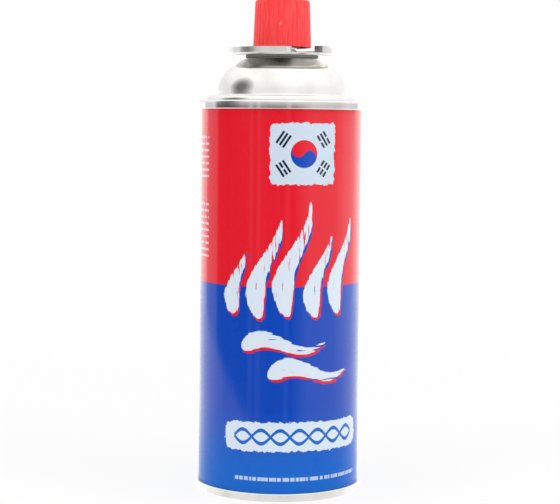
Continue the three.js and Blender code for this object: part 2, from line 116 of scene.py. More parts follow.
class Value:
    """A number carried by a shader socket, for use in Python expressions."""

    def __init__(self, graph: Graph, socket: bpy.types.NodeSocket) -> None:
        """Wraps a socket.

        Args:
            graph: The material graph that the socket belongs to.
            socket: An output socket that carries a number.
        """
        self.graph = graph
        self.socket = socket

    def __add__(self, other: Number) -> Value:
        """Adds two numbers."""
        return self.graph.math("ADD", self, other)

    def __sub__(self, other: Number) -> Value:
        """Takes one number from another."""
        return self.graph.math("SUBTRACT", self, other)

    def __mul__(self, other: Number) -> Value:
        """Multiplies two numbers."""
        return self.graph.math("MULTIPLY", self, other)

    def __truediv__(self, other: Number) -> Value:
        """Divides one number by another."""
        return self.graph.math("DIVIDE", self, other)

    def __radd__(self, other: float) -> Value:
        """Adds to a plain number."""
        return self.graph.math("ADD", other, self)

    def __rsub__(self, other: float) -> Value:
        """Takes a value from a plain number."""
        return self.graph.math("SUBTRACT", other, self)

    def __rmul__(self, other: float) -> Value:
        """Multiplies a plain number."""
        return self.graph.math("MULTIPLY", other, self)

    def __neg__(self) -> Value:
        """Turns the sign round."""
        return self.graph.math("MULTIPLY", self, -1.0)

    def __abs__(self) -> Value:
        """Drops the sign."""
        return self.graph.math("ABSOLUTE", self)

    def power(self, exponent: float) -> Value:
        """Raises the number to a power."""
        return self.graph.math("POWER", self, exponent)

    def least(self, other: Number) -> Value:
        """Returns the smaller of two numbers, which joins masks as AND."""
        return self.graph.math("MINIMUM", self, other)

    def most(self, other: Number) -> Value:
        """Returns the larger of two numbers, which joins masks as OR."""
        return self.graph.math("MAXIMUM", self, other)

    def clamped(self) -> Value:
        """Holds the number between 0 and 1."""
        return self.graph.math("ADD", self, 0.0, clamp=True)

    def sine(self) -> Value:
        """Returns the sine."""
        return self.graph.math("SINE", self)

    def rising(self, level: Number, soft: float) -> Value:
        """Masks the place where the number is above a level, fading over a width."""
        return ((self - level) / soft + 0.5).clamped()

    def stretched(self, low: float = 0.4, gain: float = 3.0) -> Value:
        """Spreads the noise above a level by a gain, and holds it between 0 and 1."""
        return ((self - low) * gain).clamped()

    def within(self, half: Number, soft: float) -> Value:
        """Masks the place where the number lies within a distance of zero.

        Args:
            half: The distance at which the mask ends.
            soft: The width over which the mask fades.

        Returns:
            A mask from 0 to 1.
        """
        return ((half - abs(self)) / soft + 0.5).clamped()


Number = Value | float


class Graph:
    """The node graph of one material or world."""

    def __init__(self, tree: bpy.types.NodeTree) -> None:
        """Empties a node tree.

        Args:
            tree: The tree that the graph is drawn in.
        """
        self.tree = tree
        self.tree.nodes.clear()

    def node(self, kind: str, settings: dict | None = None, **inputs: object) -> bpy.types.Node:
        """Adds a node of any kind.

        Args:
            kind: The node's type name.
            settings: Properties that are set before the sockets.
            inputs: Values or links by socket name, with spaces written as underscores, and
                in1, in2 and so on for sockets by their place.

        Returns:
            The new node.
        """
        made = self.tree.nodes.new(kind)
        for key, value in (settings or {}).items():
            setattr(made, key, value)
        for key, value in inputs.items():
            by_place = key.startswith("in") and key[2:].isdigit()
            socket = made.inputs[int(key[2:]) if by_place else key.replace("_", " ")]
            if isinstance(value, Value):
                self.tree.links.new(value.socket, socket)
            elif isinstance(value, bpy.types.NodeSocket):
                self.tree.links.new(value, socket)
            else:
                socket.default_value = value
        return made

    def math(self, operation: str, *values: Number, clamp: bool = False) -> Value:
        """Adds a Math node.

        Args:
            operation: The node's operation.
            values: Its operands.
            clamp: Whether the result is held between 0 and 1.

        Returns:
            The result.
        """
        settings = {"operation": operation, "use_clamp": clamp}
        inputs = {f"in{place}": value for place, value in enumerate(values)}
        return Value(self, self.node("ShaderNodeMath", settings, **inputs).outputs[0])

    def position(self) -> tuple[Value, Value, Value]:
        """Reads the object coordinates.

        Returns:
            The coordinates x, y and z, in millimetres.
        """
        place = self.node("ShaderNodeTexCoord").outputs["Object"]
        parts = self.node("ShaderNodeSeparateXYZ", in0=place).outputs
        return tuple(Value(self, part) * (1 / MM) for part in parts)

    def vector(self, x: Number, y: Number, z: Number) -> bpy.types.NodeSocket:
        """Joins three numbers into a vector."""
        return self.node("ShaderNodeCombineXYZ", in0=x, in1=y, in2=z).outputs[0]

    def length(self, across: Value, up: Value) -> Value:
        """Returns the length of a step across and up."""
        return self.math("SQRT", across * across + up * up)

    def noise(self, place: bpy.types.NodeSocket, scale: float, detail: float = 2.0) -> Value:
        """Adds smooth noise about 0.5.

        Args:
            place: The vector that the noise is read at.
            scale: The noise's scale.
            detail: The number of finer layers.

        Returns:
            The noise, from about 0.2 to 0.8.
        """
        made = self.node("ShaderNodeTexNoise", Vector=place, Scale=scale, Detail=detail)
        return Value(self, made.outputs["Fac"])

    def mix(self, share: Number, first: object, second: object) -> bpy.types.NodeSocket:
        """Mixes two colours.

        Args:
            share: How much of the second colour shows, from 0 to 1.
            first: A colour or a colour socket.
            second: A colour or a colour socket.

        Returns:
            The mixed colour.
        """
        made = self.node("ShaderNodeMix", {"data_type": "RGBA"}, in0=share)
        for socket, colour in ((made.inputs[6], first), (made.inputs[7], second)):
            if isinstance(colour, bpy.types.NodeSocket):
                self.tree.links.new(colour, socket)
            else:
                socket.default_value = (*colour, 1.0)
        return made.outputs[2]

    def bump(self, height: Value, distance: float) -> bpy.types.NodeSocket:
        """Turns a height into a bumped normal.

        Args:
            height: The height, from 0 to 1.
            distance: The height of 1, in millimetres.

        Returns:
            The normal.
        """
        made = self.node("ShaderNodeBump", Strength=1.0, Distance=distance * MM, Height=height)
        return made.outputs[0]


class Finish:
    """A material that is drawn in a graph."""

    name: str

    def draw(self, graph: Graph, shader: bpy.types.Node) -> None:
        """Draws the finish into a shader. Each finish has its own."""
        raise NotImplementedError

    def material(self) -> bpy.types.Material:
        """Makes the material.

        Returns:
            The new material.
        """
        made = bpy.data.materials.new(self.name)
        made.use_nodes = True
        graph = Graph(made.node_tree)
        shader = graph.node("ShaderNodeBsdfPrincipled")
        graph.node("ShaderNodeOutputMaterial", Surface=shader.outputs[0])
        self.draw(graph, shader)
        return made


def link(graph: Graph, shader: bpy.types.Node, socket: str, value: object) -> None:
    """Links a value or a colour to one of a shader's sockets.

    Args:
        graph: The material's graph.
        shader: The shader.
        socket: The name of its socket.
        value: A Value or a socket.
    """
    source = value.socket if isinstance(value, Value) else value
    graph.tree.links.new(source, shader.inputs[socket])


def joined(masks: Iterable[Value]) -> Value:
    """Joins any number of masks as OR."""
    return reduce(Value.most, masks)


def turned_axes(across: Value, up: Value, turn: float) -> tuple[Value, Value]:
    """Reads a place on axes that are turned.

    Args:
        across: The place's distance across.
        up: Its distance up.
        turn: The axes' turn in radians, to the left.

    Returns:
        The distances along the turned axes.
    """
    cos, sin = math.cos(turn), math.sin(turn)
    return across * cos + up * sin, up * cos - across * sin


# The finishes


@dataclass(frozen=True)
class Tinplate(Finish):
    """Bright tinplate with the fine rings that the press leaves.

    Below a height the colour is darkened as painted shade, but a part on the right stays
    bright as a painted reflection. A painted dark reflection lies on the hook in front, where
    only the rim of the collar reaches.
    """

    name: str = "tinplate"
    bright: Colour = (0.84, 0.83, 0.81)
    dull: Colour = (0.77, 0.76, 0.73)
    roughness: float = 0.045
    roughness_spread: float = 0.10
    cloud_share: float = 0.6
    cloud_scale: float = 0.12
    wear_level: float = 0.42
    wear_gain: float = 4.0
    ring_scale: float = 3.0
    ring_depth: float = 0.0012
    painted_shade_below: float = -10.0
    painted_shade_share: float = 0.60
    painted_shade_fade: float = 0.15
    painted_lit_side: float = 4.0
    painted_lit_side_fade: float = 6.0
    painted_lit_radius: float = 20.3
    painted_lit_radius_fade: float = 0.6
    painted_hook_reflection: Point = (14.4, 178.4)
    hook_half: float = 1.7
    hook_front: float = 8.0
    hook_fades: Triple = (0.7, 0.4, 1.0)
    painted_hook_reflection_light: float = 0.30

    def draw(self, graph: Graph, shader: bpy.types.Node) -> None:
        """Draws clouded metal with faint rings round the axis.

        Args:
            graph: The material's graph.
            shader: Its shader.
        """
        x, y, z = graph.position()
        radius = graph.length(x, y)
        cloud = graph.noise(graph.vector(x, y, z), self.cloud_scale, 3.0)
        place = graph.vector(radius * self.ring_scale, z * self.ring_scale, 0.0)
        rings = graph.noise(place, 1.0, 3.0)
        wear = cloud.stretched(self.wear_level, self.wear_gain)
        colour = graph.mix(wear, self.bright, self.dull)

        # Painted shade: below a height the colour is darkened. A part to the right, within a
        # radius of the axis, keeps the metal's own colour as a painted reflection.
        under = tuple(self.painted_shade_share * part for part in self.dull)
        near = 1.0 - radius.rising(self.painted_lit_radius, self.painted_lit_radius_fade)
        painted_lit = x.rising(self.painted_lit_side, self.painted_lit_side_fade) * near
        unshaded = z.rising(self.painted_shade_below, self.painted_shade_fade).most(painted_lit)
        colour = graph.mix(unshaded, under, colour)

        # Painted dark reflection: the metal colour is darkened on the hook in front
        side, foot = self.painted_hook_reflection
        beside, above, before = self.hook_fades
        painted_hook_reflection = (x - side).within(self.hook_half, beside) * z.rising(foot, above)
        painted_hook_reflection = painted_hook_reflection * (-y).rising(self.hook_front, before)
        shade = tuple(self.painted_hook_reflection_light * part for part in self.dull)
        link(graph, shader, "Base Color", graph.mix(painted_hook_reflection, colour, shade))

        rough = self.cloud_share * cloud + (1.0 - self.cloud_share) * rings
        link(graph, shader, "Roughness", self.roughness + self.roughness_spread * rough)
        link(graph, shader, "Normal", graph.bump(rings, self.ring_depth))
        shader.inputs["Metallic"].default_value = 1.0


@dataclass(frozen=True)
class CapPlastic(Finish):
    """Satin moulded plastic with pale flow lines and a small painted highlight in front."""

    name: str = "red_cap"
    colour: Colour = (0.96, 0.030, 0.034)
    pale: Colour = (1.0, 0.095, 0.092)
    pale_share: float = 0.7
    flow_across: float = 1.4
    flow_along: float = 0.12
    flow_scale: float = 0.8
    grain_scale: float = 6.0
    roughness: float = 0.36
    roughness_spread: float = 0.12
    grain: float = 0.01
    translucence: float = 0.05
    painted_highlight: Point = (-0.75, 189.9)
    painted_highlight_radius: float = 0.5
    painted_highlight_fade: float = 0.3
    painted_highlight_share: float = 0.6
    painted_highlight_colour: Colour = (1.0, 0.35, 0.32)

    def draw(self, graph: Graph, shader: bpy.types.Node) -> None:
        """Draws moulded plastic with faint upright flow lines.

        Args:
            graph: The material's graph.
            shader: Its shader.
        """
        x, y, z = graph.position()
        across, along = self.flow_across, self.flow_along
        place = graph.vector(x * across, y * across, z * along)
        flow = graph.noise(place, self.flow_scale, 3.0)
        grain = graph.noise(graph.vector(x, y, z), self.grain_scale, 3.0)
        colour = graph.mix(flow.stretched() * self.pale_share, self.colour, self.pale)
        # A painted highlight: a small light spot on the front of the cap
        distance = graph.length(x - self.painted_highlight[0], z - self.painted_highlight[1])
        painted_highlight = distance.within(self.painted_highlight_radius, self.painted_highlight_fade)
        painted_highlight = painted_highlight * (-y).rising(0.0, 1.0) * self.painted_highlight_share
        link(graph, shader, "Base Color", graph.mix(painted_highlight, colour, self.painted_highlight_colour))
        link(graph, shader, "Roughness", self.roughness + self.roughness_spread * grain)
        link(graph, shader, "Normal", graph.bump(grain, self.grain))
        shader.inputs["Subsurface Weight"].default_value = self.translucence


@dataclass(frozen=True)
class Moulded(Finish):
    """A plain moulded or drawn finish with a fine grain, for the valve's small pieces."""

    name: str
    colour: Colour
    dark: Colour
    roughness: float
    metallic: float = 0.0
    roughness_spread: float = 0.15
    grain_scale: float = 3.0
    grain: float = 0.01

    def draw(self, graph: Graph, shader: bpy.types.Node) -> None:
        """Draws the grain into the colour, the gloss and the surface.

        Args:
            graph: The material's graph.
            shader: Its shader.
        """
        x, y, z = graph.position()
        grain = graph.noise(graph.vector(x, y, z), self.grain_scale, 4.0)
        link(graph, shader, "Base Color", graph.mix(grain.stretched(), self.colour, self.dark))
        link(graph, shader, "Roughness", self.roughness + self.roughness_spread * grain)
        link(graph, shader, "Normal", graph.bump(grain, self.grain))
        shader.inputs["Metallic"].default_value = self.metallic


@dataclass(frozen=True)
class BrushStroke:
    """One dry-brush stroke of the print, in millimetres round and up the can.

    A stroke starts at its foot and runs upwards, or to the right when it isn't upright. It
    leans and curls to the side, swells over the first share of its length, narrows to its tip
    and runs dry towards it.
    """

    round_at: float
    height: float
    length: float
    width: float
    lean: float
    curl: float
    bends: float = 1.0
    upright: bool = True
    swell: float = 0.3
    heel_power: float = 0.45
    tip_power: float = 0.75
    ragged: float = 2.6
    soft: float = 0.22
    end_soft: float = 0.01
    dry_level: float = 0.50
    dry_foot: float = 0.24
    dry_soft: float = 0.03

    def mask(self, graph: Graph, arc: Value, level: Value, streaks: Value) -> Value:
        """Masks the stroke.

        Args:
            graph: The material's graph.
            arc: The distance round the can from the front.
            level: The height above the table.
            streaks: Noise that is drawn out along the stroke.

        Returns:
            A mask from 0 to 1.
        """
        beside, above = arc - self.round_at, level - self.height
        along, across = (above, beside) if self.upright else (beside, above)
        share = (along / self.length).clamped()
        centre = share * self.lean + (share * (math.pi * self.bends)).sine() * self.curl
        heel = (share / self.swell).clamped().power(self.heel_power)
        tip = (1.0 - share).power(self.tip_power)
        half = heel * tip * (self.width / 2)
        distance = abs(across - centre) - half + (streaks - 0.5) * self.ragged
        body = (-distance).rising(0.0, self.soft)
        wet = self.dry_foot * (1.0 - share)
        dry = ((streaks - self.dry_level - wet) / self.dry_soft).clamped()
        ends = (along / self.length - 0.5).within(0.5, self.end_soft)
        return body * ends * (1.0 - dry)


@dataclass(frozen=True)
class Patch:
    """A pale patch with round corners and torn edges, in millimetres round and up the can."""

    left: float
    right: float
    foot: float
    top: float
    corner: float
    tear: float
    tear_level: float = 0.42
    edge: float = 0.2

    @property
    def centre(self) -> Point:
        """The middle of the patch."""
        return (self.left + self.right) / 2, (self.foot + self.top) / 2

    def mask(self, graph: Graph, arc: Value, level: Value, ragged: Value) -> Value:
        """Masks the patch.

        Args:
            graph: The material's graph.
            arc: The distance round the can from the front.
            level: The height above the table.
            ragged: Noise that tears the edges.

        Returns:
            A mask from 0 to 1.
        """
        middle, height = self.centre
        beside = abs(arc - middle) - ((self.right - self.left) / 2 - self.corner)
        above = abs(level - height) - ((self.top - self.foot) / 2 - self.corner)
        distance = graph.length(beside.most(0.0), above.most(0.0)) - self.corner
        return (-(distance + (ragged - self.tear_level) * self.tear)).rising(0.0, self.edge)


@dataclass(frozen=True)
class Flag(Patch):
    """The patch with a red and blue disc and four sets of three bars."""

    left: float = -4.6
    right: float = 23.1
    foot: float = 125.7
    top: float = 150.2
    corner: float = 1.8
    tear: float = 2.8
    disc_radius: float = 5.45
    disc_tilt: float = math.radians(-33.7)
    disc_soft: float = 0.12
    bar_turn: float = math.radians(56.3)
    bar_length: float = 5.6
    bar_width: float = 0.9
    bar_pitch: float = 1.55
    bar_gap: float = 0.7
    bar_soft: float = 0.1
    reach_round: float = 8.3
    reach_up: float = 5.7

    def disc(self, graph: Graph, arc: Value, level: Value) -> tuple[Value, Value]:
        """Masks the disc, and the red part of it.

        Args:
            graph: The material's graph.
            arc: The distance round the can from the front.
            level: The height above the table.

        Returns:
            The mask of the disc, and that of its red half.
        """
        middle, height = self.centre
        along, over = turned_axes(arc - middle, level - height, self.disc_tilt)
        disc = graph.length(along, over).within(self.disc_radius, self.disc_soft)
        half = self.disc_radius / 2
        red_lobe = graph.length(along + half, over).within(half, self.disc_soft)
        blue_lobe = graph.length(along - half, over).within(half, self.disc_soft)
        red = over.rising(0.0, self.disc_soft).most(red_lobe).least(1.0 - blue_lobe)
        return disc, red

    def bars(self, arc: Value, level: Value) -> Value:
        """Masks the four sets of bars.

        Args:
            arc: The distance round the can from the front.
            level: The height above the table.

        Returns:
            A mask from 0 to 1.
        """
        # A set's side and rise, and which of its bars are split, from the upper one down
        sets = (
            (-1, 1, (False, False, False)),
            (1, 1, (True, False, True)),
            (-1, -1, (False, True, False)),
            (1, -1, (True, True, True)),
        )
        middle, height = self.centre
        soft = self.bar_soft
        found = []
        for side, rise, broken in sets:
            turn = self.bar_turn if side * rise < 0 else -self.bar_turn
            across = arc - (middle + side * self.reach_round)
            up = level - (height + rise * self.reach_up)
            along, over = turned_axes(across, up, turn)
            reach = along.within(self.bar_length / 2, soft)
            gap = 1.0 - along.within(self.bar_gap / 2, soft)
            for place, split in zip((1, 0, -1), broken):
                bar = (over - place * self.bar_pitch).within(self.bar_width / 2, soft) * reach
                found.append(bar * gap if split else bar)
        return joined(found)


@dataclass(frozen=True)
class FootPatch(Patch):
    """The long patch near the foot, with a twist of two strands drawn along it."""

    left: float = -23.2
    right: float = 39.9
    foot: float = 19.9
    top: float = 32.1
    corner: float = 4.5
    tear: float = 3.0
    twist_left: float = -18.4
    twist_right: float = 35.6
    swing: float = 2.7
    pitch: float = 7.714
    half: float = 0.75
    soft: float = 0.15

    def twist(self, arc: Value, level: Value) -> Value:
        """Masks the two strands.

        Args:
            arc: The distance round the can from the front.
            level: The height above the table.

        Returns:
            A mask from 0 to 1.
        """
        over = level - self.centre[1]
        along = arc - self.twist_left
        swing = (along * (math.pi / self.pitch)).sine() * self.swing
        strands = (over - swing).within(self.half, self.soft)
        strands = strands.most((over + swing).within(self.half, self.soft))
        reach = (self.twist_right - self.twist_left) / 2
        return strands * (along - reach).within(reach, self.soft)


@dataclass(frozen=True)
class Dashes:
    """Rows of plain short dashes that stand in for small print."""

    left: float
    right: float
    foot: float
    rows: int
    pitch: float = 2.6
    tall: float = 0.9
    soft: float = 0.12
    dash_scale: float = 0.9
    row_scale: float = 7.3
    dash_level: float = 0.46
    dash_soft: float = 0.04
    side_soft: float = 0.2
    end_soft: float = 0.1

    def mask(self, graph: Graph, arc: Value, level: Value) -> Value:
        """Masks the dashes, which differ from row to row.

        Args:
            graph: The material's graph.
            arc: The distance round the can from the front.
            level: The height above the table.

        Returns:
            A mask from 0 to 1.
        """
        place = (level - self.foot) / self.pitch
        row = graph.math("FLOOR", place)
        inside = ((place - row) * self.pitch - self.tall / 2).within(self.tall / 2, self.soft)
        spot = graph.vector(arc * self.dash_scale, row * self.row_scale, Layer.DASHES.value)
        dashes = graph.noise(spot, 1.0).rising(self.dash_level, self.dash_soft)
        middle, reach = (self.left + self.right) / 2, (self.right - self.left) / 2
        half = self.rows * self.pitch / 2
        block = (arc - middle).within(reach, self.side_soft)
        block = block * (level - self.foot - half).within(half, self.end_soft)
        return inside * dashes * block


@dataclass(frozen=True)
class PrintedLacquer(Finish):
    """The can's print under its lacquer, with the bare strip of the side seam at the back.

    The print is red over blue, with brush strokes that have thin shadows, a torn patch with
    the flag, a longer one with the twist, and rows of dashes. The blue pales towards the foot
    as a painted reflection of the table.
    """

    name: str = "printed_can"
    body_radius: float = 33.0
    split: float = 85.7
    split_soft: float = 0.1
    red: Colour = (0.74, 0.008, 0.022)
    blue: Colour = (0.0, 0.056, 0.45)
    twist_and_sheen_blue: Colour = (0.0, 0.125, 0.56)
    foot_height: float = 24.0
    foot_fade: float = 26.0
    pale: Colour = (0.58, 0.67, 0.79)
    white: Colour = (0.66, 0.75, 0.84)
    ink: Colour = (0.012, 0.016, 0.035)
    dash_share: float = 0.75
    streak_across: float = 1.1
    streak_along: float = 0.10
    tear_scale: float = 0.55
    strip_half: float = 1.5
    strip_soft: float = 0.15
    metal: Colour = (0.36, 0.355, 0.345)
    metallic: float = 0.95
    weld_half: float = 0.3
    weld_soft: float = 0.2
    weld: Colour = (0.17, 0.165, 0.16)
    roughness: float = 0.22
    roughness_spread: float = 0.10
    cloud_scale: float = 0.12
    specular: float = 0.05
    coat_loss: float = 0.65
    coat_roughness: float = 0.05
    ripple: float = 0.08
    ripple_across: float = 0.05
    ripple_along: float = 0.012
    shadow_offset: Point = (0.55, 1.1)
    flag: Flag = Flag()
    foot_patch: FootPatch = FootPatch()
    brushwork: tuple[BrushStroke, ...] = (
        BrushStroke(-19.5, 74.5, 25.0, 9.2, 4.0, -2.2, 1.4),
        BrushStroke(-8.2, 73.0, 39.0, 10.4, 5.5, -3.2, 1.6),
        BrushStroke(3.2, 74.0, 45.0, 10.8, 6.0, -3.6, 1.7),
        BrushStroke(14.6, 73.5, 32.0, 9.8, 4.5, -2.8, 1.5),
        BrushStroke(25.4, 74.5, 38.0, 10.0, 5.0, -3.0, 1.6),
        BrushStroke(-15.5, 62.0, 35.0, 8.0, 1.5, 2.6, 2.0, upright=False, swell=0.12),
        BrushStroke(-4.5, 51.0, 36.0, 8.5, 1.5, 2.6, 2.0, upright=False, swell=0.12),
    )
    dashes: tuple[Dashes, ...] = (
        Dashes(-18.4, 38.8, 8.3, 1, tall=1.5),
        Dashes(-64.0, -35.0, 128.0, 7),
        Dashes(-64.0, -35.0, 96.0, 9),
    )

    def painted(
        self, graph: Graph, arc: Value, level: Value, upright: Value, flat: Value
    ) -> Value:
        """Masks the brush strokes.

        Args:
            graph: The material's graph.
            arc: The distance round the can from the front.
            level: The height above the table.
            upright: The streaks of the upright strokes.
            flat: The streaks of the others.

        Returns:
            A mask from 0 to 1.
        """
        return joined(
            stroke.mask(graph, arc, level, upright if stroke.upright else flat)
            for stroke in self.brushwork
        )

    def printed(self, graph: Graph, arc: Value, level: Value) -> bpy.types.NodeSocket:
        """Draws the colours of the print.

        Args:
            graph: The material's graph.
            arc: The distance round the can from the front.
            level: The height above the table.

        Returns:
            The colour.
        """
        across, along = self.streak_across, self.streak_along
        place = graph.vector(arc * across, level * along, Layer.UPRIGHT.value)
        upright = graph.noise(place, 1.0, 3.0)
        place = graph.vector(arc * along, level * across, Layer.FLAT.value)
        flat = graph.noise(place, 1.0, 3.0)
        ragged = graph.noise(graph.vector(arc, level, Layer.TEAR.value), self.tear_scale, 4.0)

        upper = level.rising(self.split, self.split_soft)
        # Painted reflection of the table: the blue pales towards the foot. The same paler blue
        # is the printed twist's colour.
        above_foot = level.rising(self.foot_height, self.foot_fade)
        colour = graph.mix(upper, graph.mix(above_foot, self.twist_and_sheen_blue, self.blue), self.red)
        shadow = graph.mix(upper, self.red, self.blue)

        aside, down = self.shadow_offset
        behind = self.painted(graph, arc - aside, level + down, upright, flat)
        colour = graph.mix(behind, colour, shadow)
        painted = self.painted(graph, arc, level, upright, flat)
        colour = graph.mix(painted, colour, self.white)

        colour = graph.mix(self.flag.mask(graph, arc, level, ragged), colour, self.pale)
        colour = graph.mix(self.flag.bars(arc, level), colour, self.ink)
        disc, red = self.flag.disc(graph, arc, level)
        colour = graph.mix(disc, colour, graph.mix(red, self.blue, self.red))

        colour = graph.mix(self.foot_patch.mask(graph, arc, level, ragged), colour, self.white)
        colour = graph.mix(self.foot_patch.twist(arc, level), colour, self.twist_and_sheen_blue)
        for block in self.dashes:
            dashes = block.mask(graph, arc, level) * self.dash_share
            colour = graph.mix(dashes, colour, self.white)
        return colour

    def draw(self, graph: Graph, shader: bpy.types.Node) -> None:
        """Draws the print, the lacquer over it and the bare strip of the side seam.

        Args:
            graph: The material's graph.
            shader: Its shader.
        """
        x, y, level = graph.position()
        arc = graph.math("ARCTAN2", x, -y) * self.body_radius
        colour = self.printed(graph, arc, level)
        across = self.body_radius * math.pi - abs(arc)
        bare = across.within(self.strip_half, self.strip_soft)
        colour = graph.mix(bare, colour, self.metal)
        weld = across.within(self.weld_half, self.weld_soft)
        link(graph, shader, "Base Color", graph.mix(weld, colour, self.weld))
        link(graph, shader, "Metallic", bare * self.metallic)

        cloud = graph.noise(graph.vector(x, y, level), self.cloud_scale, 3.0)
        link(graph, shader, "Roughness", self.roughness + self.roughness_spread * cloud)
        shader.inputs["Specular IOR Level"].default_value = self.specular
        foot = 1.0 - level.rising(self.foot_height, self.foot_fade)
        link(graph, shader, "Coat Weight", 1.0 - self.coat_loss * foot)
        shader.inputs["Coat Roughness"].default_value = self.coat_roughness
        across, along = self.ripple_across, self.ripple_along
        place = graph.vector(arc * across, level * along, Layer.RIPPLE.value)
        link(graph, shader, "Normal", graph.bump(graph.noise(place, 1.0, 1.0), self.ripple))


# Making pieces


def arc_points(
    centre: Point, radius: float, start: float, end: float, steps: int, height: float = 0.0
) -> list[Point]:
    """Lists the points of a round stretch of a section.

    Args:
        centre: Its centre, as radius and height.
        radius: Its radius.
        start: Its first angle in degrees, counted from the outward direction.
        end: Its last angle.
        steps: How many runs it is made of.
        height: Its half height where that differs from its radius.

    Returns:
        The points, both ends among them.
    """
    points = []
    for step in range(steps + 1):
        angle = math.radians(start + (end - start) * step / steps)
        rise = (height or radius) * math.sin(angle)
        points.append((centre[0] + radius * math.cos(angle), centre[1] + rise))
    return points


def deselect_all() -> None:
    """Leaves nothing selected."""
    bpy.ops.object.select_all(action="DESELECT")


def choose(piece: bpy.types.Object) -> None:
    """Leaves one piece selected and active.

    Args:
        piece: The piece.
    """
    deselect_all()
    piece.select_set(True)
    bpy.context.view_layer.objects.active = piece


def turned(name: str, section: list[Point], steps: int) -> bpy.types.Object:
    """Spins a closed section about the can's axis.

    Args:
        name: The piece's name.
        section: The corners of the section, as radius and height.
        steps: How many steps the full turn has.

    Returns:
        The new piece.
    """
    deselect_all()
    bpy.ops.mesh.primitive_circle_add(vertices=len(section), radius=MM)
    piece = bpy.context.active_object
    piece.name = name
    bpy.ops.object.mode_set(mode="EDIT")
    mesh = bmesh.from_edit_mesh(piece.data)
    mesh.verts.ensure_lookup_table()
    for vert, (radius, height) in zip(mesh.verts, section):
        vert.co = (radius * MM, 0.0, height * MM)
    bpy.ops.mesh.select_all(action="DESELECT")
    on_axis = [edge for edge in mesh.edges if all(abs(v.co.x) < ON_AXIS for v in edge.verts)]
    for edge in on_axis:
        edge.select_set(True)
    bmesh.update_edit_mesh(piece.data)
    if on_axis:
        bpy.ops.mesh.delete(type="EDGE")
    bpy.ops.mesh.select_all(action="SELECT")
    bpy.ops.mesh.spin(steps=steps, angle=FULL_TURN, center=(0, 0, 0), axis=(0, 0, 1))
    bpy.ops.mesh.select_all(action="SELECT")
    bpy.ops.mesh.remove_doubles(threshold=MERGE_DISTANCE)
    bpy.ops.mesh.normals_make_consistent(inside=False)
    bpy.ops.object.mode_set(mode="OBJECT")
    return piece


def smoothed(piece: bpy.types.Object, angle: float = SMOOTH_DEGREES) -> None:
    """Shades a piece smooth, and keeps its large faces flat beside rounded edges.

    Args:
        piece: The piece.
        angle: The angle in degrees past which an edge stays sharp.
    """
    choose(piece)
    bpy.ops.object.shade_smooth_by_angle(angle=math.radians(angle))
    weights = piece.modifiers.new("weights", "WEIGHTED_NORMAL")
    weights.keep_sharp = True
    bpy.ops.object.modifier_apply(modifier=weights.name)


def refined(
    node: bpy.types.Object, name: str, edge: float, angle: float = SMOOTH_DEGREES
) -> bpy.types.Object:
    """Makes a finer piece from a CAD node: its edges are broken and its faces smoothed.

    Args:
        node: The CAD node.
        name: The new piece's name.
        edge: The width of the broken edges.
        angle: The angle in degrees past which an edge stays sharp.

    Returns:
        The new piece.
    """
    piece = bpy.data.objects.new(name, node.data.copy())
    bpy.context.scene.collection.objects.link(piece)
    choose(piece)
    bpy.ops.object.mode_set(mode="EDIT")
    bpy.ops.mesh.select_all(action="SELECT")
    bpy.ops.mesh.remove_doubles(threshold=MERGE_DISTANCE)
    bpy.ops.mesh.dissolve_limited(angle_limit=FLAT_ANGLE)
    bpy.ops.object.mode_set(mode="OBJECT")
    bevel = piece.modifiers.new("edges", "BEVEL")
    bevel.width = edge * MM
    bevel.segments = BEVEL_SEGMENTS
    bevel.limit_method = "ANGLE"
    bevel.angle_limit = EDGE_ANGLE
    bpy.ops.object.modifier_apply(modifier=bevel.name)
    smoothed(piece, angle)
    return piece


def dress(piece: bpy.types.Object, body: Body, material: bpy.types.Material) -> None:
    """Gives a new piece its body and its material.

    Args:
        piece: The piece.
        body: The body that it rides on.
        material: Its material.
    """
    piece.data.materials.clear()
    piece.data.materials.append(material)
    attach(piece, body.value)
    LOG.info("%s: %d faces, on %s", piece.name, len(piece.data.polygons), body.value)


# The sub-assemblies


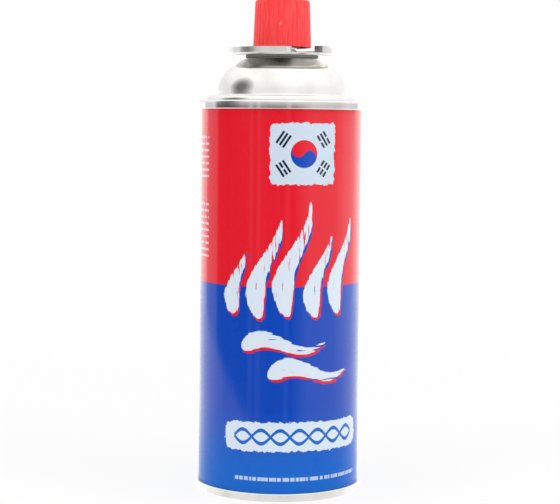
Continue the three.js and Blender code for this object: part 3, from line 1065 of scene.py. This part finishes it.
@dataclass
class Can:
    """The printed body with its two seamed ends."""

    body_radius: float = 33.0
    seam_radius: float = 34.2
    seam_height: float = 3.4
    seam_thickness: float = 1.8
    seam_round: float = 0.8
    seam_lip_round: float = 0.25
    seam_lap: float = 0.2
    height: float = 158.9
    sheet: float = 0.3
    countersink: float = 3.8
    countersink_width: float = 1.4
    countersink_rise: float = 0.4
    countersink_run: float = 0.3
    base_rise: float = 8.0
    base_sheet: float = 1.0
    shoulder_rise: float = 2.0
    shoulder_round: float = 1.9
    dome_radius: float = 26.3
    dome_foot: float = 0.8
    crown: Point = (13.1, 13.4)
    cone_angle: float = 32.0
    mouth_radius: float = 12.7
    bead_round: float = 1.4
    neck: float = 3.2
    pocket_radius: float = 14.0
    pocket_fall: float = 1.1
    inside_gap: float = 2.0
    bands: int = 24
    bend_steps: int = 5
    bead_steps: int = 8
    shoulder_steps: int = 10
    base_steps: int = 16
    crown_steps: int = 24
    steps: int = 192

    def shell(self) -> bpy.types.Object:
        """Makes the printed tube.

        Returns:
            The piece.
        """
        foot = self.seam_height - self.seam_lap
        top = self.height - self.seam_height + self.seam_lap
        inner, outer = self.body_radius - self.sheet, self.body_radius
        levels = [foot + (top - foot) * step / self.bands for step in range(self.bands + 1)]
        section = [(outer, level) for level in levels]
        section += [(inner, level) for level in reversed(levels)]
        return turned("can_body", section, self.steps)

    def seam_lip(self, base: float, sign: float) -> list[Point]:
        """Lists the outside of a seam, from the body to the chuck wall.

        Args:
            base: The height of the seam's far edge.
            sign: 1 for the upper seam and -1 for the lower one.

        Returns:
            The points.
        """
        body, outer = self.body_radius, self.seam_radius
        near = base - sign * self.seam_height
        lip, bend = self.seam_lip_round, self.seam_round
        chuck = outer - self.seam_thickness
        points = [(body - self.sheet, near), (outer - lip, near), (outer, near + sign * lip)]
        level, quarter, steps = base - sign * bend, sign * 90, self.bend_steps
        points += arc_points((outer - bend, level), bend, 0, quarter, steps)
        points += arc_points((chuck + bend, level), bend, quarter, 2 * quarter, steps)
        return points

    def top_end(self) -> bpy.types.Object:
        """Makes the upper seam, the shoulder, the dome and the bead of the mouth.

        Returns:
            The piece.
        """
        chuck = self.seam_radius - self.seam_thickness
        shoulder = chuck - self.countersink_width
        floor = self.height - self.countersink
        level = self.height + self.shoulder_rise
        dome_level = level + self.dome_foot
        lean = math.radians(self.cone_angle)
        slope = math.tan(lean)
        end = math.degrees(math.atan2(self.crown[1], self.crown[0] * slope))
        crown_centre = (self.dome_radius - self.crown[0], dome_level)
        crown = arc_points(
            crown_centre, self.crown[0], 0, end, self.crown_steps, height=self.crown[1]
        )
        bead_centre = self.mouth_radius + self.bead_round
        join = bead_centre + self.bead_round * math.sin(lean)
        join_level = crown[-1][1] + (crown[-1][0] - join) * slope
        bead_level = join_level - self.bead_round * math.cos(lean)
        rise, run, bend = self.countersink_rise, self.countersink_run, self.shoulder_round

        section = self.seam_lip(self.height, 1)
        section += [(chuck, floor + rise), (chuck - run, floor)]
        section += [(shoulder + run, floor), (shoulder, floor + rise)]
        centre = (shoulder - bend, level - bend)
        section += arc_points(centre, bend, 0, 90, self.shoulder_steps)
        foot = (self.dome_radius + self.dome_foot, dome_level)
        section += arc_points(foot, self.dome_foot, -90, -180, self.bend_steps)
        section += crown[1:]
        centre, start = (bead_centre, bead_level), 90 - self.cone_angle
        section += arc_points(centre, self.bead_round, start, 180, self.bead_steps)
        neck = bead_level + self.bead_round - self.neck
        section += [(self.mouth_radius, neck), (self.pocket_radius, neck - self.pocket_fall)]
        under, wall = floor - 2 * self.inside_gap, self.body_radius - self.inside_gap
        section += [(self.pocket_radius, under), (wall, under)]
        section += [(self.body_radius - self.sheet, floor - self.inside_gap)]
        return turned("top_end", section, self.steps)

    def bottom_end(self) -> bpy.types.Object:
        """Makes the lower seam and the end that is domed inwards.

        Returns:
            The piece.
        """
        chuck = self.seam_radius - self.seam_thickness
        reach = chuck - self.seam_round
        sphere = (reach**2 + self.base_rise**2) / (2 * self.base_rise)
        crown = self.countersink + self.base_rise
        half = math.degrees(math.asin(reach / sphere))
        section = self.seam_lip(0.0, -1)
        section += [(chuck, self.countersink - self.seam_round)]
        section += arc_points((0.0, crown - sphere), sphere, 90 - half, 90, self.base_steps)
        over = crown + self.base_sheet
        section += [(0.0, over), (self.body_radius - self.inside_gap, over)]
        section += [(self.body_radius - self.sheet, self.seam_height + self.base_sheet)]
        return turned("bottom_end", section, self.steps)

    def build(self, printed: bpy.types.Material, metal: bpy.types.Material) -> None:
        """Makes and dresses the can.

        Args:
            printed: The print's material.
            metal: The bare tinplate's material.
        """
        parts = (
            (self.shell(), Slot.PRINT, printed),
            (self.top_end(), Slot.TINPLATE, metal),
            (self.bottom_end(), Slot.TINPLATE, metal),
        )
        for piece, slot, material in parts:
            smoothed(piece)
            dress(piece, Body.CANISTER, material)
            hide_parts("can")


@dataclass
class Cap:
    """The ribbed push-on cap with the sleeve that grips the valve's pedestal."""

    foot: float = 180.789
    top: float = 199.889
    foot_radius: float = 11.9
    top_radius: float = 11.15
    middle: float = 4.0
    edge: float = 1.0
    edge_steps: int = 6
    foot_edge: float = 0.15
    wall: float = 1.2
    roof: float = 198.589
    sleeve_radius: float = 6.1
    sleeve_wall: float = 1.2
    ledge: float = 1.4
    ledge_level: float = 183.489
    ribs: int = 36
    rib_depth: float = 0.28
    rib_facets: int = 10
    rib_power: float = 0.7
    rib_margin: float = 0.2
    rib_slack: float = 0.05
    smooth_angle: float = 50.0

    def section(self) -> list[Point]:
        """Lists the cap's section, from the middle of its top round to that of its roof.

        Returns:
            The points.
        """
        taper = (self.foot_radius - self.top_radius) / (self.top - self.foot)
        wall_top = self.foot_radius - taper * (self.roof - self.foot) - self.wall
        bore = self.sleeve_radius
        sleeve = bore + self.sleeve_wall
        edge, foot_edge = self.edge, self.foot_edge
        points = [(0.0, self.top), (self.middle, self.top)]
        centre = (self.top_radius - edge, self.top - edge)
        points += arc_points(centre, edge, 90, 0, self.edge_steps)
        points += [(self.foot_radius, self.foot + foot_edge)]
        points += [(self.foot_radius - foot_edge, self.foot)]
        points += [(self.foot_radius - self.wall, self.foot), (wall_top, self.roof)]
        points += [(sleeve, self.roof), (sleeve, self.foot), (bore, self.foot)]
        points += [(bore, self.ledge_level), (bore - self.ledge, self.ledge_level)]
        points += [(bore - self.ledge, self.roof), (0.0, self.roof)]
        return points

    def shape_ribs(self, piece: bpy.types.Object) -> None:
        """Draws the valleys between the ribs inwards, fading out over the rounded edge.

        Args:
            piece: The turned cap.
        """
        least = self.foot_radius - self.wall + self.rib_margin
        for vert in piece.data.vertices:
            radius = math.hypot(vert.co.x, vert.co.y) / MM
            height = vert.co.z / MM
            taper = (height - self.foot) / (self.top - self.foot)
            wall = self.foot_radius + (self.top_radius - self.foot_radius) * taper
            if radius < min(least, wall - self.edge) - self.rib_slack:
                continue
            share = max(0.0, min(1.0, (radius - self.top_radius) / self.edge + 1.0))
            turn = math.atan2(vert.co.y, vert.co.x)
            lobe = abs(math.sin(self.ribs * turn / 2)) ** self.rib_power
            shrink = 1.0 - self.rib_depth * share * (1.0 - lobe) / radius
            vert.co.x *= shrink
            vert.co.y *= shrink

    def build(self, plastic: bpy.types.Material) -> None:
        """Makes and dresses the cap.

        Args:
            plastic: Its material.
        """
        piece = turned("cap_shell", self.section(), self.ribs * self.rib_facets)
        self.shape_ribs(piece)
        smoothed(piece, self.smooth_angle)
        dress(piece, Body.CAP, plastic)
        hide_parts("cap")


@dataclass
class Neck:
    """The collar, the valve cup and the valve, made finer from their CAD nodes."""

    nodes: dict[str, bpy.types.Object]
    collar_look: bpy.types.Material
    edge: float = 0.1
    collar_angle: float = 9.0
    spring_foot: float = 171.08
    spring_share: float = 0.78

    def build(self, looks: dict[Slot, bpy.types.Material]) -> None:
        """Makes and dresses each piece.

        Args:
            looks: The materials by slot.
        """
        parts = (
            ("collar", "collar_ring", Body.CANISTER, Slot.TINPLATE),
            ("valve_cup", "clinched_cup", Body.CANISTER, Slot.TINPLATE),
            ("cup_gasket", "cup_seal", Body.CANISTER, Slot.RUBBER),
            ("stem_gasket", "stem_seal", Body.CANISTER, Slot.RUBBER),
            ("valve_housing", "housing", Body.CANISTER, Slot.VALVE),
            ("valve_spring", "coil_spring", Body.CANISTER, Slot.SPRING),
            ("valve_stem", "stem_tube", Body.STEM, Slot.VALVE),
        )
        for node, name, body, slot in parts:
            if node == "collar":
                piece = refined(self.nodes[node], name, self.edge, self.collar_angle)
                look = self.collar_look
            else:
                piece = refined(self.nodes[node], name, self.edge)
                look = looks[slot]
            dress(piece, body, look)
            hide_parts(node)
            if node == "valve_spring":
                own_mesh(piece)


# The studio


@dataclass(frozen=True)
class Room:
    """The room as the can's glossy surfaces mirror it.

    A dark screen stands round the front, from the table's edge to just above the camera, with
    a bright card to its right. The walls behind the can whiten its edges. Heights are those of
    a direction of length 1, and turns are in degrees from the front, to the right.
    """

    walls: float = 0.98
    right_wall: float = 0.09
    right_wall_fade: float = 0.6
    ceiling: float = 1.22
    ceiling_height: float = 0.5
    ceiling_fade: float = 0.5
    screen: float = 0.10
    screen_folds: float = 0.13
    fold_scale: Point = (0.06, 0.4)
    screen_top: float = 0.038
    screen_soft: float = 0.045
    screen_left: float = -101.0
    screen_left_fade: float = 5.0
    slit: float = 0.55
    gaps: tuple[float, ...] = (-42.0, -31.0, 10.0)
    gap_half: float = 3.0
    gap_fade: float = 4.0
    gap_light: float = 0.28
    card: float = 0.72
    card_turn: float = 30.0
    card_fade: float = 24.0
    card_side: float = 0.4
    card_side_turn: float = 92.0
    card_side_fade: float = 16.0
    card_top: float = 0.012
    card_top_fade: float = 0.006
    card_above: float = 0.55
    rear: float = 1.5
    rear_turn: float = 129.5
    rear_fade: float = 5.0
    table: float = 0.90
    table_side: float = 1.30
    table_side_turn: float = 110.0
    table_side_fade: float = 60.0
    table_height: float = -0.147
    table_fall: float = 0.050
    table_fade: float = 0.014
    shade_way: Triple = (-0.945, -0.165, 0.285)
    shade_reach: float = 0.885
    shade_soft: float = 0.105
    shade: float = 0.80

    def screens(self, graph: Graph, turn: Value, up: Value) -> Value:
        """Lights the band between the table and the top of the screen.

        Args:
            graph: The world's graph.
            turn: The direction's turn from the front.
            up: The direction's height.

        Returns:
            The light.
        """
        across, rise = self.fold_scale
        folds = graph.noise(graph.vector(turn * across, up * rise, Layer.FOLDS.value), 1.0)
        light = self.screen + self.screen_folds * folds.stretched(0.5)
        for place in self.gaps:
            light = light + self.gap_light * (turn - place).within(self.gap_half, self.gap_fade)
        card = self.card * turn.rising(self.card_turn, self.card_fade)
        card = card + self.card_side * turn.rising(self.card_side_turn, self.card_side_fade)
        above = self.card_above * up.rising(self.card_top, self.card_top_fade)
        light = light + card * (1.0 - above)
        slit = (-turn).rising(-self.screen_left, self.screen_left_fade)
        light = light + self.slit * slit
        rear = abs(turn).rising(self.rear_turn, self.rear_fade)
        return light * (1.0 - rear) + self.rear * rear

    def mirrored(self, graph: Graph) -> bpy.types.NodeSocket:
        """Draws the room.

        Args:
            graph: The world's graph.

        Returns:
            The colour.
        """
        way = graph.node("ShaderNodeTexCoord").outputs["Generated"]
        parts = graph.node("ShaderNodeSeparateXYZ", in0=way).outputs
        across, away, up = (Value(graph, part) for part in parts)
        front = -away
        turn = graph.math("ARCTAN2", across, front) * math.degrees(1.0)
        raised = up.rising(self.ceiling_height, self.ceiling_fade)
        light = self.walls + (self.ceiling - self.walls) * raised
        light = light + self.right_wall * across.rising(0.0, self.right_wall_fade)

        band = 1.0 - up.rising(self.screen_top, self.screen_soft)
        light = light * (1.0 - band) + self.screens(graph, turn, up) * band
        edge = self.table_height - self.table_fall * front
        table = 1.0 - up.rising(edge, self.table_fade)
        aside = abs(turn).rising(self.table_side_turn, self.table_side_fade)
        table_light = self.table + aside * (self.table_side - self.table)
        light = light * (1.0 - table) + table_light * table

        x, y, z = self.shade_way
        toward = across * x + away * y + up * z
        shade = ((toward - self.shade_reach) / self.shade_soft).clamped()
        light = light * (1.0 - self.shade * shade)
        return graph.vector(light, light, light)


@dataclass(frozen=True)
class Lamp:
    """A soft lamp that points at the can, with its place and size in millimetres."""

    name: str
    place: Triple
    watts: float
    width: float = 500.0
    height: float = 700.0
    aim_height: float = 100.0

    def hang(self) -> None:
        """Hangs the lamp where nothing mirrors it."""
        data = bpy.data.lights.new(self.name, "AREA")
        data.shape = "RECTANGLE"
        data.size, data.size_y = self.width * MM, self.height * MM
        data.energy = self.watts
        lamp = bpy.data.objects.new(self.name, data)
        start = Vector(self.place) * MM
        lamp.location = start
        aim = Vector((0.0, 0.0, self.aim_height * MM)) - start
        lamp.rotation_euler = aim.to_track_quat("-Z", "Y").to_euler()
        lamp.visible_glossy = False
        bpy.context.scene.collection.objects.link(lamp)


@dataclass
class Studio:
    """The floor, the light and the camera."""

    camera_distance: float = 646.4
    camera_height: float = 147.0
    pitch: float = 4.42
    roll: float = 0.605
    lens: float = 100.98
    sensor: float = 36.0
    nearest: float = 10.0
    floor_size: float = 6000.0
    floor_colour: Colour = (0.86, 0.86, 0.86)
    floor_near: float = 150.0
    floor_fade: float = 450.0
    floor_light: float = 0.84
    floor_light_rise: float = 0.16
    room_light: float = 0.66
    white: Colour = (1.0, 1.0, 1.0)
    lamps: tuple[Lamp, ...] = (
        Lamp("lamp_left", (-700.0, -500.0, 450.0), 2.2),
        Lamp("lamp_right", (700.0, -350.0, 450.0), 2.6),
        Lamp("lamp_top", (0.0, -100.0, 900.0), 2.4, width=700.0),
    )

    def camera(self) -> None:
        """Sets the camera at the photograph's place."""
        data = bpy.data.cameras.new("camera")
        data.lens = self.lens
        data.sensor_width = self.sensor
        data.clip_start = self.nearest * MM
        view = bpy.data.objects.new("camera", data)
        turn = Matrix.Rotation(math.radians(90 - self.pitch), 4, "X")
        turn = turn @ Matrix.Rotation(math.radians(self.roll), 4, "Z")
        place = Vector((0.0, -self.camera_distance * MM, self.camera_height * MM))
        view.matrix_world = Matrix.Translation(place) @ turn
        bpy.context.scene.collection.objects.link(view)
        bpy.context.scene.camera = view

    def floor(self) -> None:
        """Lays the pale floor, which pales to white away from the can."""
        deselect_all()
        bpy.ops.mesh.primitive_plane_add(size=self.floor_size * MM)
        plane = bpy.context.active_object
        plane.name = "floor"
        made = bpy.data.materials.new("floor")
        made.use_nodes = True
        graph = Graph(made.node_tree)
        x, y, _ = graph.position()
        far = ((graph.length(x, y) - self.floor_near) / self.floor_fade).clamped()
        matt = graph.node("ShaderNodeBsdfDiffuse", Color=(*self.floor_colour, 1.0))
        glow = graph.node("ShaderNodeEmission", Color=(*self.white, 1.0), Strength=1.0)
        path = graph.node("ShaderNodeLightPath")
        light = self.floor_light + self.floor_light_rise * far
        seen = Value(graph, path.outputs["Is Camera Ray"]) * light
        surfaces = {"in1": matt.outputs[0], "in2": glow.outputs[0]}
        mixed = graph.node("ShaderNodeMixShader", in0=seen, **surfaces)
        graph.node("ShaderNodeOutputMaterial", Surface=mixed.outputs[0])
        plane.visible_glossy = False
        plane.data.materials.append(made)

    def world(self) -> None:
        """Puts the room round the can."""
        world = bpy.data.worlds.new("room")
        bpy.context.scene.world = world
        world.use_nodes = True
        graph = Graph(world.node_tree)
        path = graph.node("ShaderNodeLightPath")
        seen = Value(graph, path.outputs["Is Camera Ray"])
        mirrored = Value(graph, path.outputs["Is Glossy Ray"])
        clear = Value(graph, path.outputs["Is Transmission Ray"])
        colour = graph.mix(mirrored, (self.room_light,) * 3, Room().mirrored(graph))
        colour = graph.mix(seen.most(clear), colour, self.white)
        shade = graph.node("ShaderNodeBackground", Color=colour, Strength=1.0)
        graph.node("ShaderNodeOutputWorld", Surface=shade.outputs[0])

    def build(self) -> None:
        """Sets up the whole studio."""
        bpy.context.scene.view_settings.view_transform = "Standard"
        self.camera()
        self.floor()
        self.world()
        for lamp in self.lamps:
            lamp.hang()


def finishes() -> dict[Slot, bpy.types.Material]:
    """Makes the material of each slot.

    Returns:
        The materials by slot.
    """
    made = {
        Slot.PRINT: PrintedLacquer(),
        Slot.TINPLATE: Tinplate(),
        Slot.CAP: CapPlastic(),
        Slot.VALVE: Moulded("white_plastic", (0.80, 0.79, 0.75), (0.70, 0.69, 0.65), 0.4),
        Slot.RUBBER: Moulded("grey_rubber", (0.40, 0.39, 0.37), (0.32, 0.31, 0.295), 0.7),
        Slot.SPRING: Moulded("spring_wire", (0.6, 0.6, 0.62), (0.42, 0.42, 0.44), 0.25, 1.0),
    }
    return {slot: finish.material() for slot, finish in made.items()}


def main() -> None:
    """Builds the canister's pieces and the studio."""
    logging.basicConfig(level=logging.INFO, format="%(message)s")
    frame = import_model()
    looks = finishes()
    Studio().build()
    Can().build(looks[Slot.PRINT], looks[Slot.TINPLATE])
    # The collar's metal is darkened below its underside as painted shade
    collar_look = Tinplate("collar_tinplate", painted_shade_below=COLLAR_UNDERSIDE).material()
    Neck(frame["nodes"], collar_look).build(looks)
    Cap().build(looks[Slot.CAP])


if __name__ == "__main__":
    main()
